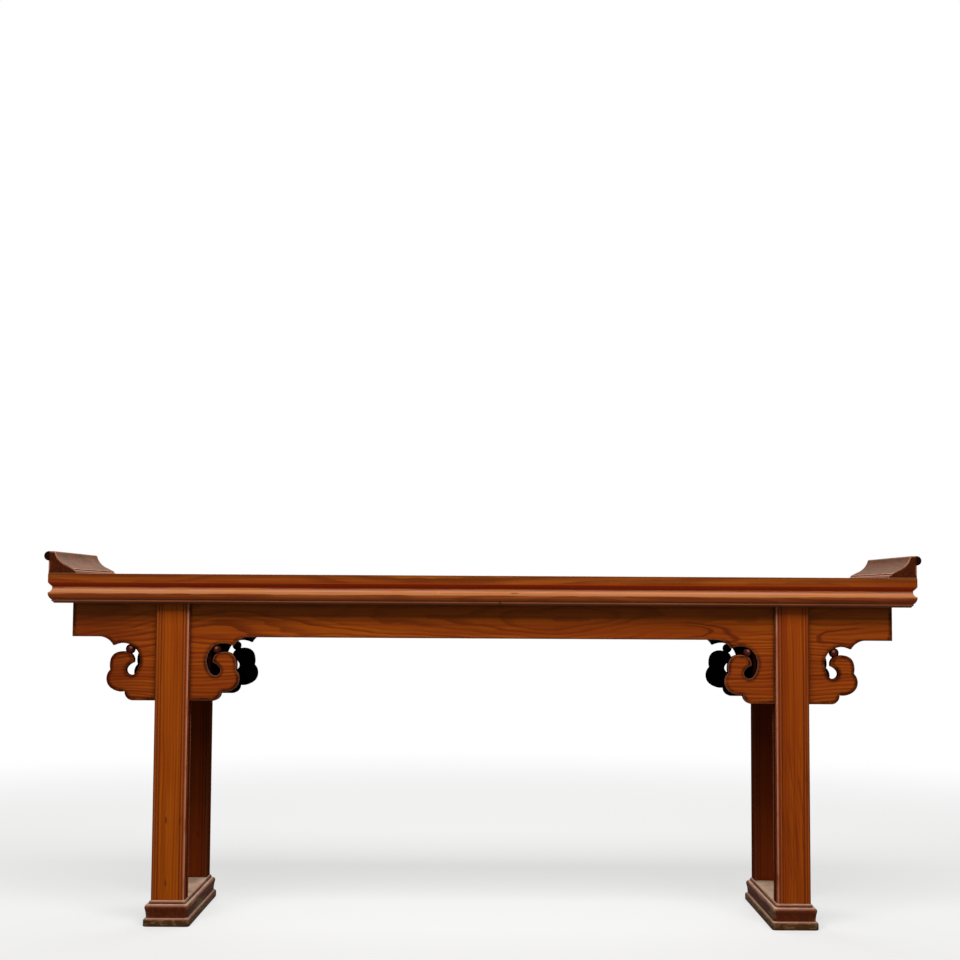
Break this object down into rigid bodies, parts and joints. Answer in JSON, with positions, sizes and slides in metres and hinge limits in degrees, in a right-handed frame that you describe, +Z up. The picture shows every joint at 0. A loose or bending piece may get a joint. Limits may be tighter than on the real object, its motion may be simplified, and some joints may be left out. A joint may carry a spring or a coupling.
{
  "type": "altar table",
  "caption": "Long narrow wooden altar table with upturned end flanges, a moulded edge, cloud-scroll spandrels, straight beaded legs and moulded floor runners.",
  "frame": {"origin": "on the floor, under the middle of the top", "axes": "+X along the table to its right end, -Y towards the front, +Z up"},
  "size_m": [2.143, 0.45, 0.904],
  "materials": {
    "top_wood": "satin lacquered orange-brown softwood",
    "panel_wood": "satin lacquered orange-brown softwood",
    "flange_wood": "worn, dusty lacquer on brown wood",
    "apron_wood": "satin lacquered orange-brown wood with strong grain",
    "leg_wood": "satin lacquered orange-brown wood with vertical grain",
    "runner_wood": "worn, dusty lacquer, scuffed along the floor",
    "inner_wood": "dark matt stain on hidden faces"
  },
  "bodies": {
    "root": {"top_rail_front": "top_wood", "top_rail_rear": "top_wood", "top_end_left": "top_wood", "top_end_right": "top_wood", "top_board_front": "panel_wood", "top_board_rear": "panel_wood", "batten_1": "inner_wood", "batten_2": "inner_wood", "batten_3": "inner_wood", "batten_4": "inner_wood", "edge_strip_front": "top_wood", "edge_strip_rear": "top_wood", "edge_strip_left": "top_wood", "edge_strip_right": "top_wood", "strip_dowels": "inner_wood", "flange_left": "flange_wood", "flange_right": "flange_wood", "apron_front": "apron_wood", "apron_rear": "apron_wood", "end_apron_left": "apron_wood", "end_apron_right": "apron_wood", "spandrel_front_left": "apron_wood", "spandrel_front_right": "apron_wood", "spandrel_rear_left": "apron_wood", "spandrel_rear_right": "apron_wood", "leg_front_left": "leg_wood", "leg_front_right": "leg_wood", "leg_rear_left": "leg_wood", "leg_rear_right": "leg_wood", "runner_left": "runner_wood", "runner_right": "runner_wood"}
  },
  "joints": []
}
